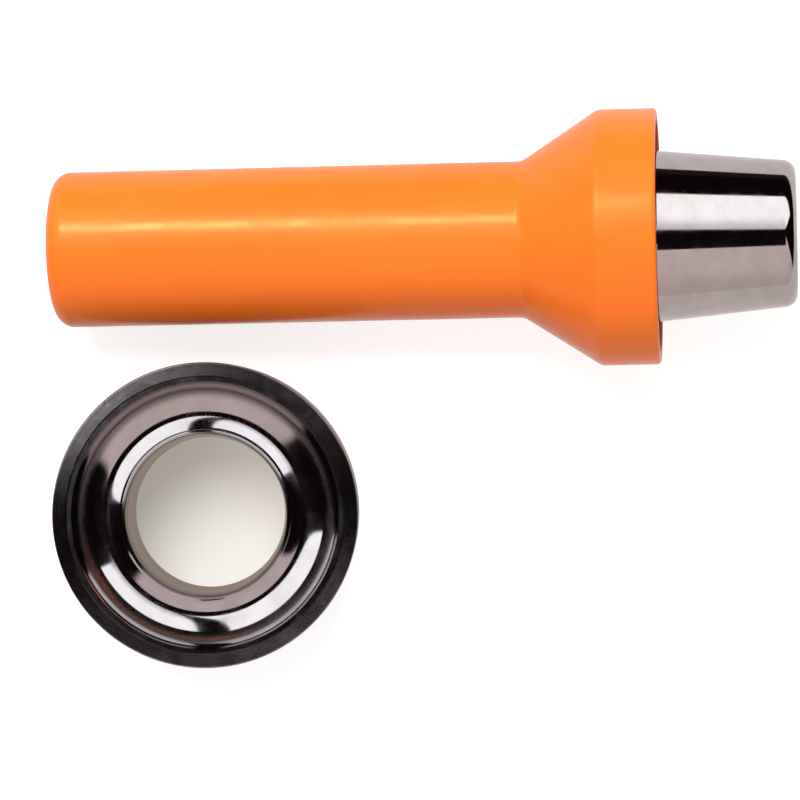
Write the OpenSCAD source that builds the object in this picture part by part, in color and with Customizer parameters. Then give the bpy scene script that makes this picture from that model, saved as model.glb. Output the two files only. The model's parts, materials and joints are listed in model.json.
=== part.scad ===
// Grommet setter: a hand-held setting punch and the ring die it works against.
// The die stands on the bench with its bore upright on +Z, its underside at z = 0.
// The punch lies on its side behind the die, nose towards +X, resting on the corner
// of its butt and the rear edge of its collar. Millimetres.

/* [Handle] */
// Diameter of the straight grip
grip_d = 29.5; // [27:0.5:31]
// Length of the handle, from the butt to the collar's front rim
handle_l = 114.7; // [108:0.1:120]
// Radius that rounds the butt's corner
butt_round = 3.2; // [3:0.1:4]
// Diameter of the collar
collar_d = 48.2; // [47:0.1:49]
// Length of the collar's straight outside
collar_w = 11.1; // [10:0.1:12]
// Length of the flare between grip and collar
flare_l = 14.5; // [12:0.1:16]

/* [Setting head] */
// Length of the nose in front of the collar
nose_l = 25.8; // [24:0.1:27]
// Diameter of the nose where it leaves the collar
nose_base_d = 32.2; // [32:0.1:32.6]
// Diameter of the nose at its free end
nose_tip_d = 27.2; // [26.8:0.1:27.4]
// Radius that rounds the nose's free end
nose_round = 2.5; // [1.5:0.1:3]
// Radius of the curling groove around the nose
curl_r = 2.3; // [2:0.1:2.5]

/* [Drive rod and its fastenings] */
// Diameter of the rod that carries the blow to the head
rod_d = 12; // [11:0.5:13]
// Diameter of the striking cap in the butt
cap_d = 18.4; // [17.5:0.1:19]
// Diameter of the cross pin that locks rod and head
cross_pin_d = 3; // [2.5:0.5:3.5]

/* [Die] */
// Outer diameter of the die
die_d = 57.6; // [57.4:0.1:60]
// Height of the die
die_h = 25; // [24.5:0.1:28]
// Diameter of the straight part of the die's bore
die_bore_d = 29.2; // [28.8:0.1:29.4]
// Height of that straight part
die_land_h = 8; // [6:0.5:8.5]
// Diameter of the bore's mouth
die_mouth_d = 30.6; // [30.4:0.1:30.8]
// Diameter of the curling groove at its deepest
groove_d = 37.7; // [37.5:0.1:38]
// Radius of the groove's section towards the rim
groove_outer_r = 6.6; // [6.5:0.1:6.9]
// Radius of the groove's section towards the bore
groove_inner_r = 4.9; // [4.7:0.1:5.2]

/* [Place on the bench] */
// Distance of the butt's centre from the die's axis, along X
lay_x = -27.8; // [-60:0.1:0]
// Distance of the punch's axis from the die's axis, along Y
lay_y = 50.8; // [50:0.1:90]

/* [Hidden] */
$fn = 96;
grip_r = grip_d / 2;
collar_r = collar_d / 2;
collar_rear = handle_l - collar_w;
flare_start = collar_rear - flare_l;
flare_angle = atan2(collar_r - grip_r, flare_l);
flare_root_round = 3;  // concave, between grip and flare
collar_rear_round = 2; // convex, between flare and collar
rim_round = 0.8;       // convex, at the collar's front

nose_base_r = nose_base_d / 2;
nose_tip_r = nose_tip_d / 2;
nose_end = handle_l + nose_l;
nose_angle = atan2(nose_base_r - nose_tip_r, nose_l);
head_face = handle_l - 1.2;  // the head's flange sits this far inside the rim
head_back = handle_l - 7.4;
head_r = collar_r - 2.1;
curl_mid_r = nose_base_r + curl_r;
spigot_r = 9;
spigot_l = 19;
spigot_end = head_back - spigot_l;

rod_r = rod_d / 2;
rod_slack = 0.15;  // between rod and handle
seat_slack = 0.2;  // between any other piece and its seat in the handle
thread_slack = 0.02;
rod_front = head_back - 1.5;

cap_r = cap_d / 2;
cap_l = 9;
cap_skin = 2.2;    // steel in front of the rod's end
lock_washer_l = 2;
flat_washer_l = 1.5;
washer_bore_r = rod_r + 0.3;
cap_seat_l = cap_l + lock_washer_l + flat_washer_l;
shock_ring_l = 2;
head_seat = head_back - shock_ring_l;

pin_r = cross_pin_d / 2;
pin_a = spigot_end + 6;
pin_l = 2 * spigot_r - 1.2;

die_r = die_d / 2;
die_bore_r = die_bore_d / 2;
die_mouth_r = die_mouth_d / 2;
groove_r = groove_d / 2;
ring_r = die_r - 2.6;   // seam between the two rings of the die
ring_seat = 9;
rim_r = groove_r + 6.35; // where the groove meets the die's top
groove_z = die_h - groove_outer_r + sqrt(pow(groove_outer_r, 2) - pow(rim_r - groove_r, 2));
lip_r = die_mouth_r + 0.4;
lip_z = groove_z + groove_inner_r - sqrt(pow(groove_inner_r, 2) - pow(groove_r - lip_r, 2));

// The punch tips forward until the rounded butt and the collar's rounded rear edge
// both touch the bench.
butt_contact = [butt_round, grip_r - butt_round];
rear_contact = [collar_rear + collar_rear_round * tan(flare_angle / 2), collar_r - collar_rear_round];
contact_step = rear_contact - butt_contact;
tilt = atan2(contact_step[1], contact_step[0])
    + asin((collar_rear_round - butt_round) / norm(contact_step));
lay_z = butt_round + butt_contact[1] * cos(tilt) - butt_contact[0] * sin(tilt);

// The sliver between a corner and the arc of radius r that rounds it. a and b are the
// directions, in degrees, in which the corner's two edges leave it.
module corner_sliver(corner, a, b, r) {
    half = abs(b - a) / 2;
    run = r / tan(half);
    middle = (a + b) / 2;
    centre = corner + r / sin(half) * [cos(middle), sin(middle)];
    difference() {
        polygon([corner, corner + run * [cos(a), sin(a)], centre, corner + run * [cos(b), sin(b)]]);
        translate(centre) circle(r);
    }
}

// Lays the punch, which is modelled upright on its butt, on the bench.
module lay_down() {
    translate([lay_x, lay_y, lay_z]) rotate([0, 90 - tilt, 0]) children();
}

// A solid tube from a1 to a2 along the punch.
module tube(outer, inner, a1, a2) {
    translate([0, 0, a1]) difference() {
        cylinder(r = outer, h = a2 - a1);
        translate([0, 0, -1]) cylinder(r = inner, h = a2 - a1 + 2);
    }
}

// Outside of the handle, as a half section: x is the radius, y the distance from the butt.
module handle_section() {
    difference() {
        union() {
            polygon([[0, 0], [grip_r, 0], [grip_r, flare_start], [collar_r, collar_rear],
                     [collar_r, handle_l], [0, handle_l]]);
            corner_sliver([grip_r, flare_start], -90, 90 - flare_angle, flare_root_round);
        }
        corner_sliver([grip_r, 0], 90, 180, butt_round);
        corner_sliver([collar_r, collar_rear], 90, 270 - flare_angle, collar_rear_round);
        corner_sliver([collar_r, handle_l], 180, 270, rim_round);
    }
}

module handle() {
    color([0.96, 0.55, 0.15]) lay_down() difference() {
        rotate_extrude() handle_section();
        translate([0, 0, -1]) cylinder(r = rod_r + rod_slack, h = handle_l + 2);
        translate([0, 0, -1]) cylinder(r = cap_r + seat_slack, h = cap_seat_l + 1);
        translate([0, 0, spigot_end - 1]) cylinder(r = spigot_r + seat_slack, h = handle_l);
        translate([0, 0, head_seat]) cylinder(r = head_r + seat_slack, h = handle_l);
    }
}

// Half section of the steel head: spigot, flange with its curling groove, tapered nose.
module head_section() {
    difference() {
        polygon([[0, spigot_end], [spigot_r - 1, spigot_end], [spigot_r, spigot_end + 1],
                 [spigot_r, head_back], [head_r, head_back], [head_r, head_face],
                 [nose_base_r, head_face], [nose_base_r, handle_l], [nose_tip_r, nose_end],
                 [0, nose_end]]);
        translate([curl_mid_r, head_face]) circle(curl_r);
        corner_sliver([nose_tip_r, nose_end], 180, 270 + nose_angle, nose_round);
    }
}

module setting_head() {
    centre_r = 1.6;  // turning centre in the end of the nose
    color([0.72, 0.71, 0.72]) lay_down() difference() {
        rotate_extrude() head_section();
        translate([0, 0, spigot_end - 1]) cylinder(r = rod_r + thread_slack, h = rod_front - spigot_end + 1.5);
        translate([0, 0, nose_end - centre_r]) cylinder(r1 = 0, r2 = 2 * centre_r, h = 2 * centre_r);
        translate([0, 0, pin_a]) rotate([90, 0, 0]) cylinder(r = pin_r, h = 3 * spigot_r, center = true);
    }
}

// Steel rod with its ends threaded into head and cap, and a relief behind each thread.
module drive_rod() {
    relief_l = 2;
    relief_r = rod_r - 0.8;
    color([0.55, 0.56, 0.58]) lay_down() difference() {
        translate([0, 0, cap_skin]) cylinder(r = rod_r, h = rod_front - cap_skin);
        tube(rod_r + 1, relief_r, cap_l - relief_l, cap_l);
        tube(rod_r + 1, relief_r, spigot_end, spigot_end + relief_l);
        translate([0, 0, pin_a]) rotate([90, 0, 0]) cylinder(r = pin_r, h = 3 * rod_r, center = true);
    }
}

// Hardened cap in the butt, with two holes for the pin spanner that tightens it.
module strike_cap() {
    edge = 0.6;
    spanner_hole_r = 1.2;
    spanner_hole_at = 6.4;
    color([0.60, 0.60, 0.62]) lay_down() difference() {
        rotate_extrude()
            polygon([[0, 0], [cap_r - edge, 0], [cap_r, edge], [cap_r, cap_l], [0, cap_l]]);
        translate([0, 0, cap_skin]) cylinder(r = rod_r + thread_slack, h = cap_l);
        for (side = [-1, 1])
            translate([0, side * spanner_hole_at, -1]) cylinder(r = spanner_hole_r, h = cap_skin);
    }
}

// Spring washer, tightened flat, with its split.
module lock_washer() {
    split = 1.2;
    color([0.42, 0.42, 0.45]) lay_down() difference() {
        tube(cap_r - 0.6, washer_bore_r, cap_l, cap_l + lock_washer_l);
        translate([cap_r / 2, 0, cap_l + lock_washer_l / 2]) rotate([25, 0, 0])
            cube([cap_r, split, 3 * lock_washer_l], center = true);
    }
}

module flat_washer() {
    color([0.62, 0.63, 0.65]) lay_down()
        tube(cap_r, washer_bore_r, cap_l + lock_washer_l, cap_seat_l);
}

// Rubber ring that keeps the stack tight and takes the ring of the blow out of the handle.
module shock_ring() {
    color([0.12, 0.12, 0.13]) lay_down() tube(head_r - 0.4, spigot_r + 0.1, head_seat, head_back);
}

// Slotted spring pin through spigot and rod.
module cross_pin() {
    wall = 0.6;
    slot = 0.7;
    color([0.38, 0.38, 0.40]) lay_down() translate([0, 0, pin_a]) rotate([90, 0, 0]) difference() {
        cylinder(r = pin_r, h = pin_l, center = true);
        cylinder(r = pin_r - wall, h = pin_l + 2, center = true);
        translate([pin_r, 0, 0]) cube([cross_pin_d, slot, pin_l + 2], center = true);
    }
}

// Radius of the die's bore at height z above its straight part.
function bore_r_at(z) =
    die_bore_r + (die_mouth_r - die_bore_r) * (z - die_land_h) / (lip_z - die_land_h);

// Base ring of the die: straight bore below, and the seat of the curling ring above.
module die_base() {
    foot = 0.8;
    edge = 0.2;
    color([0.30, 0.28, 0.30]) rotate_extrude()
        polygon([[die_bore_r, 0], [die_r - foot, 0], [die_r, foot], [die_r, die_h - edge],
                 [die_r - edge, die_h], [ring_r, die_h], [ring_r, ring_seat],
                 [bore_r_at(ring_seat), ring_seat], [die_bore_r, die_land_h]]);
}

// Curling ring pressed into the base: its groove turns the grommet's barrel over.
module die_ring() {
    color([0.78, 0.76, 0.78]) rotate_extrude() difference() {
        polygon([[bore_r_at(ring_seat), ring_seat], [ring_r, ring_seat], [ring_r, die_h],
                 [groove_r, die_h], [groove_r, lip_z], [die_mouth_r, lip_z]]);
        intersection() {
            translate([groove_r, groove_z + groove_outer_r]) circle(groove_outer_r);
            translate([groove_r, 0]) square([groove_outer_r + 1, 2 * die_h]);
        }
        intersection() {
            translate([groove_r, groove_z + groove_inner_r]) circle(groove_inner_r);
            translate([groove_r - groove_inner_r - 1, 0]) square([groove_inner_r + 1, 2 * die_h]);
        }
    }
}

handle();
setting_head();
drive_rod();
strike_cap();
lock_washer();
flat_washer();
shock_ring();
cross_pin();
die_base();
die_ring();
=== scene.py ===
"""Looks of the grommet setter: a setting punch lying beside its ring die, seen from above."""

import json
import math

import bmesh
import bpy
from mathutils import Matrix, Vector


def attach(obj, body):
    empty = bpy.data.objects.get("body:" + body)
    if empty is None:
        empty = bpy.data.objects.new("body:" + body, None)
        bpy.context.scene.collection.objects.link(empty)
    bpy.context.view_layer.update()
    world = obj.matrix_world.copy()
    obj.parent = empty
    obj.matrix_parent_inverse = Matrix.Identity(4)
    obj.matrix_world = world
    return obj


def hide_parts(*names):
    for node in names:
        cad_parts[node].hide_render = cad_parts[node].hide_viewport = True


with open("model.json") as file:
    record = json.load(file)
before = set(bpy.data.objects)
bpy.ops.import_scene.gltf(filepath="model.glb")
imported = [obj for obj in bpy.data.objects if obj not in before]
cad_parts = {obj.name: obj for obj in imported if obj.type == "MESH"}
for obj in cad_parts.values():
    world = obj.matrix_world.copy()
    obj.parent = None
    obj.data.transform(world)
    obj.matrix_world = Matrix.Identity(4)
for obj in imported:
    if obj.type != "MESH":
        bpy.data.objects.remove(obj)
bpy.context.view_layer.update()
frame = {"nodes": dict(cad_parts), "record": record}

MM = 0.001
SEGMENTS = 192       # facets round every turned piece
HOLE_SEGMENTS = 48   # facets round a drilled hole
ARC_STEP = 6.0       # degrees between the points of a rounded corner
SUPPORT = 0.15       # mm from a corner to the loop that keeps the flat beside it flat
SHARP_ANGLE = 38.0   # degrees; edges steeper than this are shaded sharp
NO_LENGTH = 1e-6     # metres; a shorter edge left by a cut is closed up

mounts = {m["name"]: m for m in frame["record"]["mounts"]}
butt_centre = Vector(mounts["strike_face"]["pos_m"])
punch_axis = -Vector(mounts["strike_face"]["axis"]).normalized()
tilt = math.asin(punch_axis.z)
PUNCH = Matrix.Translation(butt_centre) @ Matrix.Rotation(math.pi / 2 - tilt, 4, "Y")
DIE = Matrix.Identity(4)


# ---------------------------------------------------------------- turned meshes

def arc(centre, radius, start, end):
    """Points of an arc in the half section. Angles in degrees, from the radial direction."""
    steps = max(2, round(abs(end - start) / ARC_STEP))
    points = []
    for i in range(steps + 1):
        angle = math.radians(start + (end - start) * i / steps)
        points.append((centre[0] + radius * math.cos(angle), centre[1] + radius * math.sin(angle)))
    return points


def rounded(before, corner, after, radius):
    """Points of the fillet of that radius at a corner between two straight runs."""
    c = Vector(corner)
    u = (Vector(before) - c).normalized()
    v = (Vector(after) - c).normalized()
    half = u.angle(v) / 2
    run = radius / math.tan(half)
    centre = c + (u + v).normalized() * radius / math.sin(half)
    first = c + u * run - centre
    last = c + v * run - centre
    sweep = math.atan2(first.x * last.y - first.y * last.x, first.dot(last))
    begin = math.degrees(math.atan2(first.y, first.x))
    return arc(centre, radius, begin, begin + math.degrees(sweep))


def section(*parts):
    """Joins corners (r, a) or (r, a, fillet) and lists of points into one half section."""
    flat = []
    for part in parts:
        flat.extend(part if isinstance(part, list) else [part])
    points = []
    for i, corner in enumerate(flat):
        if len(corner) == 3 and corner[2] > 0:
            before = flat[i - 1][:2]
            after = flat[(i + 1) % len(flat)][:2]
            points.extend(rounded(before, corner[:2], after, corner[2]))
        else:
            points.append(corner[:2])
    return points


def with_supports(points, closed):
    """Adds a point close to each end of every long straight run."""
    ends = points[1:] + (points[:1] if closed else [])
    result = []
    for start, end in zip(points, ends):
        result.append(start)
        a = Vector(start)
        b = Vector(end)
        length = (b - a).length
        if length > 6 * SUPPORT:
            result.append(tuple(a.lerp(b, SUPPORT / length)))
            result.append(tuple(a.lerp(b, 1 - SUPPORT / length)))
    if not closed:
        result.append(points[-1])
    return result


def new_object(name, mesh):
    obj = bpy.data.objects.new(name, mesh)
    bpy.context.scene.collection.objects.link(obj)
    return obj


def turned(name, points, closed=True, segments=SEGMENTS):
    """Revolves a half section, given in millimetres, round the local Z axis."""
    bm = bmesh.new()
    rings = []
    for radius, height in with_supports(points, closed):
        if radius < 1e-6:
            rings.append([bm.verts.new((0, 0, height * MM))])
            continue
        ring = []
        for i in range(segments):
            angle = math.tau * i / segments
            ring.append(bm.verts.new((radius * MM * math.cos(angle),
                                      radius * MM * math.sin(angle), height * MM)))
        rings.append(ring)
    following = rings[1:] + (rings[:1] if closed else [])
    for low, high in zip(rings, following):
        if len(low) == 1 and len(high) == 1:
            continue
        for i in range(segments):
            j = (i + 1) % segments
            if len(low) == 1:
                bm.faces.new((low[0], high[j], high[i]))
            elif len(high) == 1:
                bm.faces.new((low[i], low[j], high[0]))
            else:
                bm.faces.new((low[i], low[j], high[j], high[i]))
    bmesh.ops.recalc_face_normals(bm, faces=bm.faces)
    mesh = bpy.data.meshes.new(name)
    bm.to_mesh(mesh)
    bm.free()
    return new_object(name, mesh)


def smooth(obj):
    obj.data.shade_smooth()
    obj.data.set_sharp_from_angle(angle=math.radians(SHARP_ANGLE))


def mended(mesh):
    """Splits the many-sided faces that a cut leaves, and drops faces with no area."""
    bm = bmesh.new()
    bm.from_mesh(mesh)
    bmesh.ops.dissolve_degenerate(bm, dist=NO_LENGTH, edges=bm.edges)
    bmesh.ops.triangulate(bm, faces=[face for face in bm.faces if len(face.verts) > 4])
    bmesh.ops.dissolve_degenerate(bm, dist=NO_LENGTH, edges=bm.edges)
    bm.to_mesh(mesh)
    bm.free()
    return mesh


def drill(obj, holes):
    """Cuts round holes: each is (centre, direction, radius, length), local, in millimetres."""
    for centre, direction, radius, length in holes:
        outline = [(0, -length / 2), (radius, -length / 2), (radius, length / 2), (0, length / 2)]
        turn = Vector((0, 0, 1)).rotation_difference(Vector(direction)).to_matrix().to_4x4()
        cutter = turned("cutter", outline, closed=False, segments=HOLE_SEGMENTS)
        cutter.data.transform(Matrix.Translation(Vector(centre) * MM) @ turn)
        bpy.context.view_layer.update()
        cut = obj.modifiers.new("cut", "BOOLEAN")
        cut.operation = "DIFFERENCE"
        cut.solver = "EXACT"
        cut.object = cutter
        depsgraph = bpy.context.evaluated_depsgraph_get()
        mesh = bpy.data.meshes.new_from_object(obj.evaluated_get(depsgraph))
        obj.modifiers.clear()
        obj.data = mended(mesh)
        bpy.data.objects.remove(cutter)


# ---------------------------------------------------------------- material nodes

class Graph:
    """A material's node tree, with short calls for the nodes that the finishes share.
    position is in millimetres, along the axes of the tool that stands at place."""

    def __init__(self, name, place):
        self.material = bpy.data.materials.new(name)
        self.material.use_nodes = True
        self.tree = self.material.node_tree
        self.shader = self.tree.nodes["Principled BSDF"]
        coordinates = self.tree.nodes.new("ShaderNodeTexCoord")
        to_mm = self.tree.nodes.new("ShaderNodeVectorMath")
        to_mm.operation = "SCALE"
        to_mm.inputs["Scale"].default_value = 1 / MM
        self.tree.links.new(coordinates.outputs["Object"], to_mm.inputs[0])
        to_tool = place.inverted()
        mapping = self.tree.nodes.new("ShaderNodeMapping")
        mapping.inputs["Location"].default_value = to_tool.to_translation() / MM
        mapping.inputs["Rotation"].default_value = to_tool.to_euler()
        self.tree.links.new(to_mm.outputs[0], mapping.inputs["Vector"])
        self.position = mapping.outputs[0]

    def put(self, socket, value):
        if isinstance(value, bpy.types.NodeSocket):
            self.tree.links.new(value, socket)
        else:
            socket.default_value = value

    def math(self, operation, a, b=0.0):
        node = self.tree.nodes.new("ShaderNodeMath")
        node.operation = operation
        for socket, value in zip(node.inputs, (a, b)):
            self.put(socket, value)
        return node.outputs[0]

    def split(self, vector):
        node = self.tree.nodes.new("ShaderNodeSeparateXYZ")
        self.put(node.inputs[0], vector)
        return node.outputs

    def join(self, x, y, z):
        node = self.tree.nodes.new("ShaderNodeCombineXYZ")
        for socket, value in zip(node.inputs, (x, y, z)):
            self.put(socket, value)
        return node.outputs[0]

    def stretched(self, x, y, z):
        """The position with each axis scaled."""
        node = self.tree.nodes.new("ShaderNodeVectorMath")
        node.operation = "MULTIPLY"
        self.put(node.inputs[0], self.position)
        node.inputs[1].default_value = (x, y, z)
        return node.outputs[0]

    def noise(self, vector, scale, detail=3.0, rough=0.5, w=None):
        """Cloudy noise, 0..1. w, where it is given, is a fourth coordinate."""
        node = self.tree.nodes.new("ShaderNodeTexNoise")
        self.put(node.inputs["Vector"], vector)
        if w is not None:
            node.noise_dimensions = "4D"
            self.put(node.inputs["W"], w)
        node.inputs["Scale"].default_value = scale
        node.inputs["Detail"].default_value = detail
        node.inputs["Roughness"].default_value = rough
        return node.outputs["Fac"]

    def cells(self, scale):
        """Outputs of a cell pattern with about scale cells per millimetre."""
        node = self.tree.nodes.new("ShaderNodeTexVoronoi")
        self.put(node.inputs["Vector"], self.position)
        node.inputs["Scale"].default_value = scale
        return node.outputs

    def ranged(self, value, low, high, to_low=0.0, to_high=1.0):
        """Maps low..high to to_low..to_high, smoothly, and holds it there outside."""
        node = self.tree.nodes.new("ShaderNodeMapRange")
        node.interpolation_type = "SMOOTHSTEP"
        numbers = (value, low, high, to_low, to_high)
        for socket, number in zip(node.inputs, numbers):
            self.put(socket, number)
        return node.outputs[0]

    def blend(self, factor, first, second):
        node = self.tree.nodes.new("ShaderNodeMix")
        node.data_type = "RGBA"
        self.put(node.inputs[0], factor)
        for socket, colour in ((node.inputs[6], first), (node.inputs[7], second)):
            self.put(socket, (*colour, 1.0) if isinstance(colour, tuple) else colour)
        return node.outputs[2]

    def bump(self, height, depth_mm, normal=None):
        """Adds relief: height 0..1 stands for 0..depth_mm."""
        node = self.tree.nodes.new("ShaderNodeBump")
        node.inputs["Strength"].default_value = 1.0
        node.inputs["Distance"].default_value = depth_mm * MM
        self.put(node.inputs["Height"], height)
        if normal is not None:
            self.put(node.inputs["Normal"], normal)
        return node.outputs[0]

    def from_axis(self):
        """Distance from the tool's axis, in millimetres, and the direction away from it."""
        x, y, _ = self.split(self.position)
        flat = self.join(x, y, 0.0)
        length = self.tree.nodes.new("ShaderNodeVectorMath")
        length.operation = "LENGTH"
        self.put(length.inputs[0], flat)
        direction = self.tree.nodes.new("ShaderNodeVectorMath")
        direction.operation = "NORMALIZE"
        self.put(direction.inputs[0], flat)
        return length.outputs["Value"], direction.outputs[0]

    def turning(self, around, across, detail=2.0, rough=0.5):
        """Noise drawn out round the local Z axis, as a lathe or a polishing mop leaves it.
        around is how fast it changes round a turn, across how many marks there are per mm."""
        distance, direction = self.from_axis()
        dx, dy, _ = self.split(direction)
        radial = self.math("MULTIPLY", distance, across)
        axial = self.math("MULTIPLY", self.split(self.position)[2], across)
        vector = self.join(self.math("MULTIPLY", dx, around),
                           self.math("MULTIPLY", dy, around), radial)
        return self.noise(vector, 1.0, detail, rough, w=axial)

    def finish(self, colour, roughness, normal, metallic=0.0, **extra):
        self.put(self.shader.inputs["Base Color"], colour)
        self.put(self.shader.inputs["Roughness"], roughness)
        self.put(self.shader.inputs["Normal"], normal)
        self.shader.inputs["Metallic"].default_value = metallic
        for name, value in extra.items():
            self.shader.inputs[name.replace("_", " ")].default_value = value
        return self.material


ORANGE = (0.770, 0.140, 0.0120)
ORANGE_PALE = (0.800, 0.154, 0.0140)
ORANGE_FLOW = (0.77, 0.128, 0.011)
ORANGE_SCUFFED = (0.88, 0.40, 0.16)


def moulded_plastic():
    """Glossy orange plastic: flow marks, a fine orange peel, handling scuffs, and the mould's
    parting line along both sides."""
    g = Graph("moulded_orange_plastic", PUNCH)
    from_parting = g.math("ABSOLUTE", g.split(g.position)[0])
    slow = g.noise(g.stretched(0.05, 0.05, 0.018), 1.0, 2.0)
    flow = g.noise(g.stretched(0.5, 0.5, 0.035), 1.0, 3.0)
    peel = g.noise(g.position, 1.1, 2.0)
    grain = g.noise(g.position, 9.0, 2.0, 0.6)
    smudge = g.noise(g.position, 0.16, 4.0, 0.62)
    scratch = g.noise(g.stretched(2.6, 2.6, 0.12), 1.0, 2.0, 0.7)
    scuffs = g.ranged(scratch, 0.70, 0.78)
    colour = g.blend(g.ranged(slow, 0.3, 0.7), ORANGE, ORANGE_PALE)
    colour = g.blend(g.ranged(flow, 0.35, 0.75, 0.0, 0.35), colour, ORANGE_FLOW)
    colour = g.blend(g.math("MULTIPLY", scuffs, 0.10), colour, ORANGE_SCUFFED)
    roughness = g.math("ADD", g.ranged(smudge, 0.35, 0.7, 0.20, 0.31),
                       g.math("MULTIPLY", scuffs, 0.12))
    normal = g.bump(peel, 0.010)
    normal = g.bump(grain, 0.0012, normal)
    normal = g.bump(g.math("SUBTRACT", 1.0, scuffs), 0.003, normal)
    normal = g.bump(g.ranged(from_parting, 0.04, 0.16, 1.0, 0.0), 0.03, normal)
    return g.finish(colour, roughness, normal, Specular_IOR_Level=0.21)


def polished_chrome(name, place, light, dark, mark_depth, gloss, rings=3.0, painted_dark_bands=()):
    """Chrome plate over turned steel: faint circular polishing marks, haze and pin pricks.
    gloss is the roughness where it is clear and where it is hazy. Each painted dark band, (from
    radius, to radius, edge, tone, extra roughness), darkens the chrome as painted shade of the
    dark rings it reflects, and roughens it."""
    g = Graph(name, place)
    marks = g.turning(0.9, rings, 3.0, 0.6)
    fine = g.turning(2.5, 4 * rings, 2.0, 0.6)
    haze = g.noise(g.position, 0.22, 4.0, 0.6)
    pits = g.cells(1.3)["Distance"]
    pricks = g.ranged(pits, 0.035, 0.07)
    colour = g.blend(g.ranged(haze, 0.3, 0.72), light, dark)
    colour = g.blend(g.math("SUBTRACT", 1.0, pricks), colour, tuple(0.55 * c for c in dark))
    roughness = g.math("ADD", g.ranged(haze, 0.35, 0.75, *gloss),
                       g.ranged(fine, 0.45, 0.8, 0.0, 0.03))
    distance, _ = g.from_axis()
    # painted shade: each band darkens the chrome's colour, and adds roughness
    for begin, end, edge, tone, extra_roughness in painted_dark_bands:
        band = g.math("MULTIPLY", g.ranged(distance, begin - edge, begin + edge),
                      g.ranged(distance, end - edge, end + edge, 1.0, 0.0))
        colour = g.blend(band, colour, tuple(tone * c for c in dark))
        roughness = g.math("ADD", roughness, g.math("MULTIPLY", band, extra_roughness))
    normal = g.bump(marks, mark_depth)
    normal = g.bump(fine, 0.25 * mark_depth, normal)
    normal = g.bump(pricks, 0.004, normal)
    return g.finish(colour, roughness, normal, metallic=1.0)


QUARTER_TURN = 0.25   # highlights run out from the axis, across the grooves


def turned_steel(name, place, light, dark, rings, groove_depth, roughness, stain_roughness,
                 anisotropic=0.0, dull_from=None):
    """Steel with the fine grooves of a facing cut, rings of them per mm. Further from the axis
    than dull_from it is a duller side wall with deeper turning lines."""
    g = Graph(name, place)
    grooves = g.turning(0.35, rings, 1.5, 0.5)
    drift = g.turning(1.2, 0.5 * rings, 3.0, 0.6)
    haze = g.noise(g.position, 0.3, 4.0, 0.6)
    dents = g.ranged(g.cells(0.35)["Distance"], 0.05, 0.22)
    colour = g.blend(g.ranged(drift, 0.3, 0.7), light, dark)
    colour = g.blend(g.ranged(haze, 0.55, 0.8, 0.0, 0.3), colour, dark)
    rough = g.math("ADD", g.ranged(haze, 0.3, 0.7, roughness, roughness + stain_roughness),
                   g.ranged(drift, 0.5, 0.8, 0.0, 0.02))
    normal = g.bump(grooves, groove_depth)
    if dull_from is not None:
        wall = g.ranged(g.from_axis()[0], dull_from - 0.05, dull_from + 0.05)
        colour = g.blend(wall, colour, g.blend(g.ranged(grooves, 0.35, 0.65), dark, light))
        colour = g.blend(g.math("MULTIPLY", wall, 0.45), colour, tuple(0.2 * c for c in dark))
        rough = g.math("ADD", rough, g.math("MULTIPLY", wall, 0.16))
        normal = g.bump(g.math("MULTIPLY", grooves, wall), 4 * groove_depth, normal)
    normal = g.bump(dents, 0.004, normal)
    material = g.finish(colour, rough, normal, metallic=1.0)
    if anisotropic:
        tangent = g.tree.nodes.new("ShaderNodeTangent")
        tangent.direction_type = "RADIAL"
        tangent.axis = "Z"
        g.put(g.shader.inputs["Tangent"], tangent.outputs[0])
        g.shader.inputs["Anisotropic"].default_value = anisotropic
        g.shader.inputs["Anisotropic Rotation"].default_value = QUARTER_TURN
    return material


def drawn_steel(name, light, dark, roughness, across=4.0):
    """Bar or strip steel with lengthways drawing lines, across of them per mm, and oil stains."""
    g = Graph(name, PUNCH)
    lines = g.noise(g.stretched(across, across, 1.0), 1.0, 3.0, 0.6)
    stains = g.noise(g.position, 0.25, 5.0, 0.65)
    colour = g.blend(g.ranged(stains, 0.35, 0.7), light, dark)
    rough = g.math("ADD", g.ranged(stains, 0.3, 0.7, roughness, roughness + 0.12),
                   g.math("MULTIPLY", lines, 0.06))
    normal = g.bump(lines, 0.004)
    return g.finish(colour, rough, normal, metallic=1.0)


def zinc_plate(name):
    """Zinc plate with a faint spangle and dust."""
    g = Graph(name, PUNCH)
    tone = g.split(g.cells(0.9)["Color"])[0]
    dust = g.noise(g.position, 2.5, 4.0, 0.6)
    colour = g.blend(tone, (0.60, 0.62, 0.64), (0.74, 0.75, 0.76))
    colour = g.blend(g.ranged(dust, 0.55, 0.8, 0.0, 0.4), colour, (0.50, 0.48, 0.42))
    rough = g.ranged(tone, 0.0, 1.0, 0.28, 0.42)
    return g.finish(colour, rough, g.bump(dust, 0.006), metallic=1.0)


def moulded_rubber(name):
    """Black rubber with a grey bloom and a fine speckle."""
    g = Graph(name, PUNCH)
    speckle = g.noise(g.position, 6.0, 4.0, 0.65)
    bloom = g.noise(g.position, 0.35, 4.0, 0.6)
    colour = g.blend(g.ranged(bloom, 0.45, 0.75), (0.018, 0.018, 0.020), (0.050, 0.050, 0.052))
    rough = g.ranged(bloom, 0.3, 0.7, 0.62, 0.82)
    return g.finish(colour, rough, g.bump(speckle, 0.02), Specular_IOR_Level=0.3)


def black_card():
    """Matt black card."""
    g = Graph("black_card", DIE)
    fibres = g.noise(g.position, 0.8, 4.0, 0.6)
    tone = g.blend(fibres, (0.006, 0.004, 0.004), (0.010, 0.007, 0.007))
    return g.finish(tone, 0.95, g.bump(fibres, 0.01), Specular_IOR_Level=0.0)


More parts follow.
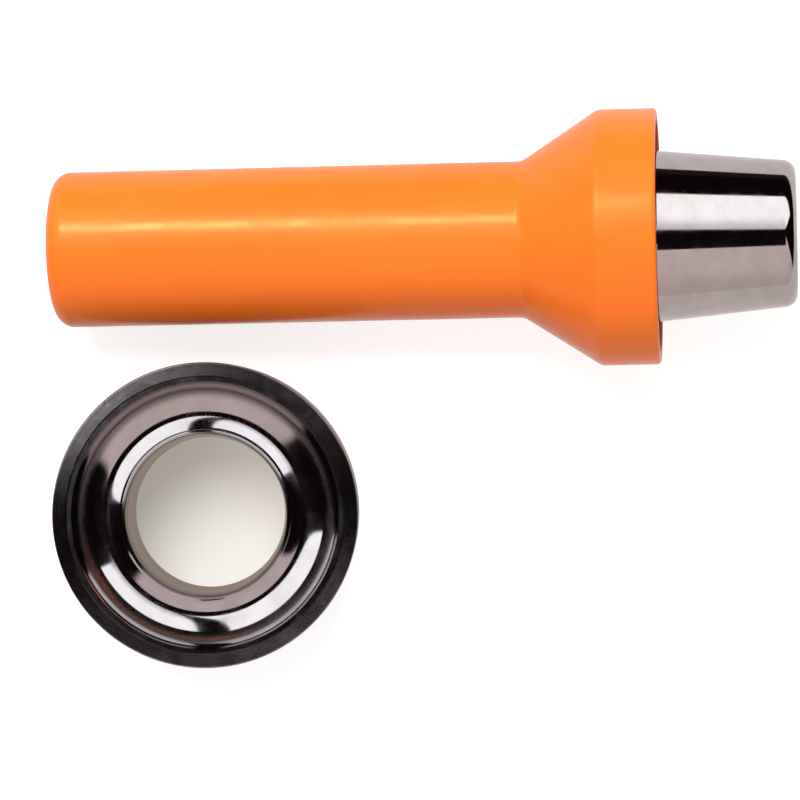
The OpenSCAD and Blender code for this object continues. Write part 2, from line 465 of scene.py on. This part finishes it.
PAINTED_WARM_SHADE = (1.0, 0.91, 0.80)         # painted warm shade: the tint of the card's glow at the foot of the bore
CLEAR_SHADE = (1.0, 0.99, 0.98)
# painted shade: the card's darker tone at the foot of the bore
PAINTED_SHADE_IN_BORE = (0.29, 0.29, 0.29)
CARD_GLOW = 0.75                       # lifts the open card nearly to white
LEAST_GLOW = 0.12                      # what other rays than the camera's get of it
PAINTED_BORE_GLOW_SHADED = 0.32                  # painted light and shade: the card's glow at the foot of the bore, on its shaded side
PAINTED_BORE_GLOW_LIT = 0.50                   # and on its lit side
PAINTED_REFLECTION_SOUTH = (0.82, 0.757, 0.725)    # painted reflection: what metal sees of the card, part by part, in place of its lit shading
PAINTED_REFLECTION_NORTH = (0.90, 0.86, 0.85)
PAINTED_REFLECTION_IN_BORE = (0.34, 0.28, 0.23)
PAINTED_REFLECTION_BEYOND = (0.02, 0.015, 0.015)
NORTH_FROM = (40.0, 60.0)              # mm along +Y, where one of these turns into the next
BEYOND_FROM = (235.0, 250.0)


def white_card(bore_side, open_side):
    """The white card on the bench. Its glow hides most of its shading from the camera, except at
    the foot of the die's bore, nearer the axis than bore_side, where it carries painted shade and
    light; metal sees a painted reflection of it, graded across the set."""
    g = Graph("white_card", DIE)
    fibres = g.noise(g.position, 0.8, 4.0, 0.6)
    tone = g.blend(g.ranged(fibres, 0.3, 0.7), (0.50, 0.50, 0.50), (0.52, 0.515, 0.51))
    ray = g.tree.nodes.new("ShaderNodeLightPath")
    distance, _ = g.from_axis()
    outside = g.ranged(distance, bore_side, open_side)
    # painted shade at the foot of the bore: a darker tone and a warm tint to the glow
    tone = g.blend(outside, PAINTED_SHADE_IN_BORE, tone)
    g.put(g.shader.inputs["Emission Color"], g.blend(outside, PAINTED_WARM_SHADE, CLEAR_SHADE))
    x, y, _ = g.split(g.position)
    # painted light and shade: the glow at the foot of the bore rises from its shaded side to its
    # lit side
    to_lit_side = g.math("SUBTRACT", g.math("MULTIPLY", x, 0.82), g.math("MULTIPLY", y, 0.57))
    painted_bore_light = g.ranged(to_lit_side, -13.0, 12.0, PAINTED_BORE_GLOW_SHADED, PAINTED_BORE_GLOW_LIT)
    glow_seen = g.math("MAXIMUM", g.math("MULTIPLY", outside, CARD_GLOW), painted_bore_light)
    to_camera = g.math("MULTIPLY", glow_seen, ray.outputs["Is Camera Ray"])
    g.put(g.shader.inputs["Emission Strength"], g.math("MAXIMUM", to_camera, LEAST_GLOW))
    material = g.finish(tone, 0.9, g.bump(fibres, 0.01), Specular_IOR_Level=0.0)

    # painted reflection: glossy rays see a glow graded across the set, darker to the south, dark
    # in the bore and far to the north
    painted_reflection = g.blend(g.ranged(y, *NORTH_FROM), PAINTED_REFLECTION_SOUTH, PAINTED_REFLECTION_NORTH)
    painted_reflection = g.blend(g.ranged(y, *BEYOND_FROM), painted_reflection, PAINTED_REFLECTION_BEYOND)
    painted_reflection = g.blend(outside, PAINTED_REFLECTION_IN_BORE, painted_reflection)
    glow = g.tree.nodes.new("ShaderNodeEmission")
    g.put(glow.inputs["Color"], painted_reflection)
    mix = g.tree.nodes.new("ShaderNodeMixShader")
    g.put(mix.inputs[0], ray.outputs["Is Glossy Ray"])
    g.tree.links.new(g.shader.outputs[0], mix.inputs[1])
    g.tree.links.new(glow.outputs[0], mix.inputs[2])
    g.tree.links.new(mix.outputs[0], g.tree.nodes["Material Output"].inputs["Surface"])
    return material


# ---------------------------------------------------------------- pieces of the punch

# Radii, and distances along the punch from its butt, in millimetres.
CAP_SEAT_R = 9.4
CAP_SEAT_END = 12.5
ROD_BORE_R = 6.15
SPIGOT_BORE_R = 9.2
SPIGOT_BORE_START = 87.3
HEAD_SEAT_R = 22.2
HEAD_SEAT = 105.3
GRIP_R = 14.75
FLARE_START = 89.1
COLLAR_R = 24.1
COLLAR_REAR = 103.6
HANDLE_END = 114.7
BUTT_ROUND = 3.2
FLARE_ROUND = 3.0
COLLAR_ROUND = 2.0
COLLAR_EDGE = 0.8

handle = turned("handle_moulding", section(
    (CAP_SEAT_R, 0.0, 0.25),
    (GRIP_R, 0.0, BUTT_ROUND),
    (GRIP_R, FLARE_START, FLARE_ROUND),
    (COLLAR_R, COLLAR_REAR, COLLAR_ROUND),
    (COLLAR_R, HANDLE_END, COLLAR_EDGE),
    (HEAD_SEAT_R, HANDLE_END, 0.25),
    (HEAD_SEAT_R, HEAD_SEAT),
    (SPIGOT_BORE_R, HEAD_SEAT),
    (SPIGOT_BORE_R, SPIGOT_BORE_START),
    (ROD_BORE_R, SPIGOT_BORE_START),
    (ROD_BORE_R, CAP_SEAT_END),
    (CAP_SEAT_R, CAP_SEAT_END),
))

HEAD_FACE = 113.5
HEAD_BACK = 107.3
HEAD_R = 22.0
NOSE_BASE_R = 16.1
NOSE_TIP_R = 13.6
NOSE_END = 140.5
NOSE_ROUND = 2.5
CURL_R = 2.3
CENTRE_R = 1.6
SPIGOT_R = 9.0
SPIGOT_END = 88.3
SPIGOT_CHAMFER = 1.0
THREAD_R = 6.02
HEAD_HOLE_END = 106.3
PIN_R = 1.5
PIN_AT = 94.3
PIN_DRILL_L = 30.0

head = turned("setting_head_steel", section(
    (0.0, NOSE_END - CENTRE_R),
    (CENTRE_R, NOSE_END, 0.15),
    (NOSE_TIP_R, NOSE_END, NOSE_ROUND),
    (NOSE_BASE_R, HANDLE_END),
    arc((NOSE_BASE_R + CURL_R, HEAD_FACE), CURL_R, 180, 360),
    (HEAD_R, HEAD_FACE, 0.2),
    (HEAD_R, HEAD_BACK, 0.3),
    (SPIGOT_R, HEAD_BACK),
    (SPIGOT_R, SPIGOT_END + SPIGOT_CHAMFER),
    (SPIGOT_R - SPIGOT_CHAMFER, SPIGOT_END),
    (THREAD_R, SPIGOT_END),
    (THREAD_R, HEAD_HOLE_END),
    (0.0, HEAD_HOLE_END),
), closed=False)
drill(head, [((0, 0, PIN_AT), (0, 1, 0), PIN_R, PIN_DRILL_L)])

CAP_R = 9.2
CAP_L = 9.0
CAP_SKIN = 2.2
CAP_EDGE = 0.6
SPANNER_HOLE_R = 1.2
SPANNER_HOLE_AT = 6.4
SPANNER_HOLE_DEPTH = CAP_SKIN - 1.0

cap = turned("strike_cap_steel", section(
    (0.0, 0.0),
    (CAP_R - CAP_EDGE, 0.0, 0.25),
    (CAP_R, CAP_EDGE, 0.25),
    (CAP_R, CAP_L),
    (THREAD_R, CAP_L),
    (THREAD_R, CAP_SKIN),
    (0.0, CAP_SKIN),
), closed=False)
drill(cap, [((0, side * SPANNER_HOLE_AT, 0), (0, 0, 1), SPANNER_HOLE_R, 2 * SPANNER_HOLE_DEPTH)
            for side in (-1, 1)])

for piece in (handle, head, cap):
    piece.data.transform(PUNCH)

# ---------------------------------------------------------------- pieces of the die

# Radii, and heights above the bench, in millimetres.
DIE_R = 28.8
DIE_H = 25.0
DIE_FOOT = 0.8
DIE_EDGE = 0.2
BORE_R = 14.6
LAND_H = 8.0
MOUTH_R = 15.3
SEAM_R = 26.2
SEAT_H = 9.0
SEAM_EDGE = 0.14
GROOVE_R = 18.85
GROOVE_OUTER = 6.6
GROOVE_INNER = 4.9
RIM_R = 25.2
LIP_R = 15.7
GROOVE_H = DIE_H - GROOVE_OUTER + math.sqrt(GROOVE_OUTER ** 2 - (RIM_R - GROOVE_R) ** 2)
LIP_H = GROOVE_H + GROOVE_INNER - math.sqrt(GROOVE_INNER ** 2 - (GROOVE_R - LIP_R) ** 2)
SEAT_BORE_R = BORE_R + (MOUTH_R - BORE_R) * (SEAT_H - LAND_H) / (LIP_H - LAND_H)

base = turned("die_base_ring", section(
    (BORE_R, 0.0, 0.3),
    (DIE_R - DIE_FOOT, 0.0, 0.3),
    (DIE_R, DIE_FOOT, 0.3),
    (DIE_R, DIE_H - DIE_EDGE, 0.1),
    (DIE_R - DIE_EDGE, DIE_H, 0.1),
    (SEAM_R + SEAM_EDGE, DIE_H),
    (SEAM_R, DIE_H - SEAM_EDGE),
    (SEAM_R, SEAT_H),
    (SEAT_BORE_R, SEAT_H),
    (BORE_R, LAND_H),
))

lip_angle = 180 + math.degrees(math.acos((GROOVE_R - LIP_R) / GROOVE_INNER))
rim_angle = 360 - math.degrees(math.acos((RIM_R - GROOVE_R) / GROOVE_OUTER))
ring = turned("die_curling_ring", section(
    (SEAT_BORE_R, SEAT_H),
    (MOUTH_R, LIP_H, 0.08),
    arc((GROOVE_R, GROOVE_H + GROOVE_INNER), GROOVE_INNER, lip_angle, 270),
    arc((GROOVE_R, GROOVE_H + GROOVE_OUTER), GROOVE_OUTER, 270, rim_angle)[1:],
    (SEAM_R - SEAM_EDGE, DIE_H),
    (SEAM_R, DIE_H - SEAM_EDGE),
    (SEAM_R, SEAT_H),
))

# ---------------------------------------------------------------- finishes

chrome_of_head = polished_chrome(
    "chrome_of_head", PUNCH, light=(0.500, 0.462, 0.456), dark=(0.455, 0.412, 0.405),
    mark_depth=0.0006, gloss=(0.045, 0.10))

# painted shade: bands of the ring darkened for the dark rings the chrome reflects there, and made
# rougher
RING_FLAT = (RIM_R, SEAM_R + 1.0, 0.05, 0.5, 0.06)
RING_LIP = (BORE_R + 0.48, LIP_R + 0.2, 0.05, 0.45, 0.06)
RING_SLOPE = (GROOVE_R + 3.9, RIM_R - 1.2, 0.6, 0.60, 0.20)
chrome_of_ring = polished_chrome(
    "chrome_of_curling_ring", DIE, light=(0.480, 0.440, 0.448), dark=(0.430, 0.385, 0.392),
    mark_depth=0.0009, gloss=(0.05, 0.11), rings=2.2, painted_dark_bands=(RING_FLAT, RING_LIP, RING_SLOPE))

steel_of_base = turned_steel(
    "turned_steel_of_die_base", DIE, light=(0.46, 0.41, 0.42), dark=(0.34, 0.29, 0.30),
    rings=7.0, groove_depth=0.0007, roughness=0.105, stain_roughness=0.025,
    anisotropic=0.85, dull_from=DIE_R - DIE_EDGE)

steel_of_cap = turned_steel(
    "turned_steel_of_cap", PUNCH, light=(0.56, 0.55, 0.54), dark=(0.44, 0.43, 0.42),
    rings=5.0, groove_depth=0.006, roughness=0.22, stain_roughness=0.08)

new_pieces = (
    (handle, "handle", "setter", "handle_plastic", moulded_plastic()),
    (head, "setting_head", "setter", "head_chrome", chrome_of_head),
    (cap, "strike_cap", "setter", "cap_steel", steel_of_cap),
    (base, "die_base", "die", "die_base_chrome", steel_of_base),
    (ring, "die_ring", "die", "die_ring_chrome", chrome_of_ring),
)
for piece, node, body, slot, material in new_pieces:
    piece.data.materials.clear()
    piece.data.materials.append(material)
    smooth(piece)
    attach(piece, body)
    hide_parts(node)

kept_nodes = {
    "drive_rod": drawn_steel("drawn_steel_of_rod", (0.56, 0.57, 0.59), (0.42, 0.42, 0.43), 0.24),
    "lock_washer": drawn_steel("blued_spring_steel", (0.16, 0.17, 0.22), (0.10, 0.09, 0.10), 0.32,
                               across=2.0),
    "flat_washer": zinc_plate("zinc_plate"),
    "shock_ring": moulded_rubber("moulded_rubber"),
    "cross_pin": drawn_steel("oiled_pin_steel", (0.22, 0.22, 0.24), (0.12, 0.11, 0.11), 0.30,
                             across=6.0),
}
for node, material in kept_nodes.items():
    for material_slot in frame["nodes"][node].material_slots:
        material_slot.material = material

# ---------------------------------------------------------------- floor

def flat_card(name, low, high, height):
    """A level rectangle between two corners (x, y), in metres."""
    bm = bmesh.new()
    corners = ((low[0], low[1]), (high[0], low[1]), (high[0], high[1]), (low[0], high[1]))
    bm.faces.new([bm.verts.new((x, y, height)) for x, y in corners])
    mesh = bpy.data.meshes.new(name)
    bm.to_mesh(mesh)
    bm.free()
    return new_object(name, mesh)


FLOOR_HALF = 3.0        # metres
FLOOR_AT = -0.00002     # just under the bench plane, so that no face lies in it
floor = flat_card("floor", (-FLOOR_HALF, -FLOOR_HALF), (FLOOR_HALF, FLOOR_HALF), FLOOR_AT)
floor.data.materials.append(white_card(RIM_R - 8.0, RIM_R - 3.0))

# ---------------------------------------------------------------- what the metal reflects

class Sky:
    """The studio round the bench, as a function of direction, in the world's node tree."""

    def __init__(self):
        self.world = bpy.data.worlds.new("studio")
        bpy.context.scene.world = self.world
        self.world.use_nodes = True
        self.world.cycles.sampling_method = "NONE"
        self.tree = self.world.node_tree
        direction = self.tree.nodes.new("ShaderNodeTexCoord").outputs["Generated"]
        split = self.tree.nodes.new("ShaderNodeSeparateXYZ")
        self.tree.links.new(direction, split.inputs[0])
        self.x, self.y, self.z = split.outputs

    put = Graph.put
    math = Graph.math
    ranged = Graph.ranged
    blend = Graph.blend

    def degrees(self, opposite, adjacent):
        """The angle with this tangent, over the full turn."""
        return self.math("DEGREES", self.math("ARCTAN2", opposite, adjacent))

    def between(self, value, low, high, soft):
        """1 from low to high and 0 outside, with soft edges."""
        rise = self.ranged(value, low - soft, low + soft)
        fall = self.ranged(value, high - soft, high + soft, 1.0, 0.0)
        return self.math("MULTIPLY", rise, fall)

    def both(self, first, second):
        return self.math("MULTIPLY", first, second)


sky = Sky()
azimuth = sky.degrees(sky.y, sky.x)         # from +X towards +Y
flat_part = sky.math("SQRT", sky.math("ADD", sky.math("MULTIPLY", sky.x, sky.x),
                                      sky.math("MULTIPLY", sky.y, sky.y)))
from_zenith = sky.degrees(flat_part, sky.z)

# Two light cards and a wall, each from one azimuth and one zenith angle to another, in degrees.
CARD_SOFT = 0.8
WALL_SOFT = 3.0
right_box = sky.both(sky.between(azimuth, 25.5, 88.0, CARD_SOFT),
                     sky.between(from_zenith, 7.5, 57.0, CARD_SOFT))
left_box = sky.both(sky.between(azimuth, 104.5, 173.0, CARD_SOFT),
                    sky.between(from_zenith, 6.0, 63.0, CARD_SOFT))
south_wall = sky.both(sky.between(azimuth, -140.0, -32.0, WALL_SOFT),
                      sky.ranged(from_zenith, 11.5, 14.0))

DARK = (0.006, 0.004, 0.004)
WALL_TOP = (0.90, 0.78, 0.755)
WALL_FOOT = (0.73, 0.62, 0.585)
BOX_NEAR_ZENITH = (1.02, 1.05, 1.08)
BOX = (1.90, 2.01, 2.02)
wall_tone = sky.blend(sky.ranged(from_zenith, 46.0, 82.0), WALL_TOP, WALL_FOOT)
right_tone = sky.blend(sky.ranged(from_zenith, 7.0, 26.0), BOX_NEAR_ZENITH, BOX)
seen = sky.blend(south_wall, DARK, wall_tone)
seen = sky.blend(right_box, seen, right_tone)
seen = sky.blend(left_box, seen, BOX)

FILL = (0.63, 0.63, 0.64)
ray = sky.tree.nodes.new("ShaderNodeLightPath")
light = sky.blend(ray.outputs["Is Diffuse Ray"], seen, FILL)
background = sky.tree.nodes["Background"]
sky.put(background.inputs["Color"], light)
background.inputs["Strength"].default_value = 1.0

# A black card over the nose, seen only in the metal. Its corners and height, in metres.
FLAG_LOW = (0.085, -0.051)
FLAG_HIGH = (0.17, 0.012)
FLAG_HEIGHT = 0.30
flag = flat_card("flag_over_nose", FLAG_LOW, FLAG_HIGH, FLAG_HEIGHT)
flag.data.materials.append(black_card())
for purpose in ("camera", "diffuse", "shadow"):
    setattr(flag, "visible_" + purpose, False)

# ---------------------------------------------------------------- lamps

TOWARDS_KEY = Vector((-0.14, 0.48, 0.82))
key = bpy.data.lights.new("key", "SUN")
key.energy = 4.4
key.angle = math.radians(36)
key_object = bpy.data.objects.new("key", key)
key_object.rotation_euler = TOWARDS_KEY.to_track_quat("Z", "Y").to_euler()
key_object.visible_glossy = False
bpy.context.scene.collection.objects.link(key_object)

STRIP_FROM_GRIP = Vector((-0.12, 0.30, 0.52))   # metres
STRIP_TWIST = math.radians(-28)
STRIP_ENDS = (0.60, 1.15)                       # glow at its flare end and at its butt end
strip = bpy.data.lights.new("strip", "AREA")
strip.shape = "RECTANGLE"
strip.size = 0.24
strip.size_y = 0.085
strip.energy = 3.2
strip.color = (1.0, 0.76, 0.31)
strip.use_nodes = True
strip_glow = strip.node_tree.nodes["Emission"]
along = strip.node_tree.nodes.new("ShaderNodeNewGeometry")
parts = strip.node_tree.nodes.new("ShaderNodeSeparateXYZ")
fade = strip.node_tree.nodes.new("ShaderNodeMapRange")
strip.node_tree.links.new(along.outputs["Parametric"], parts.inputs[0])
strip.node_tree.links.new(parts.outputs["X"], fade.inputs["Value"])
fade.inputs["To Min"].default_value = STRIP_ENDS[0]
fade.inputs["To Max"].default_value = STRIP_ENDS[1]
strip.node_tree.links.new(fade.outputs[0], strip_glow.inputs["Strength"])
strip_object = bpy.data.objects.new("strip", strip)
strip_aim = Vector((0.0, butt_centre.y, butt_centre.z + 0.01))
strip_object.location = strip_aim + STRIP_FROM_GRIP
facing = (strip_object.location - strip_aim).to_track_quat("Z", "Y").to_matrix().to_4x4()
strip_object.rotation_euler = (facing @ Matrix.Rotation(STRIP_TWIST, 4, "Z")).to_euler()
strip_object.visible_diffuse = False
bpy.context.scene.collection.objects.link(strip_object)
handle_only = bpy.data.collections.new("lit_by_strip")
handle_only.objects.link(handle)
strip_object.light_linking.receiver_collection = handle_only

# ---------------------------------------------------------------- camera

CAMERA_AT = (0.0371, 0.02095, 0.760)   # metres; it looks straight down
CAMERA_ROLL = math.radians(-1.12)
SENSOR = 36.0
FOCAL_PIXELS = 3907.5
FRAME_PIXELS = 800
camera = bpy.data.cameras.new("camera")
camera.sensor_width = SENSOR
camera.lens = FOCAL_PIXELS * SENSOR / FRAME_PIXELS
camera.clip_start = 0.01
camera.clip_end = 20.0
camera_object = bpy.data.objects.new("camera", camera)
camera_object.location = CAMERA_AT
camera_object.rotation_euler = (0.0, 0.0, CAMERA_ROLL)
bpy.context.scene.collection.objects.link(camera_object)
bpy.context.scene.camera = camera_object
bpy.context.scene.view_settings.view_transform = "Standard"
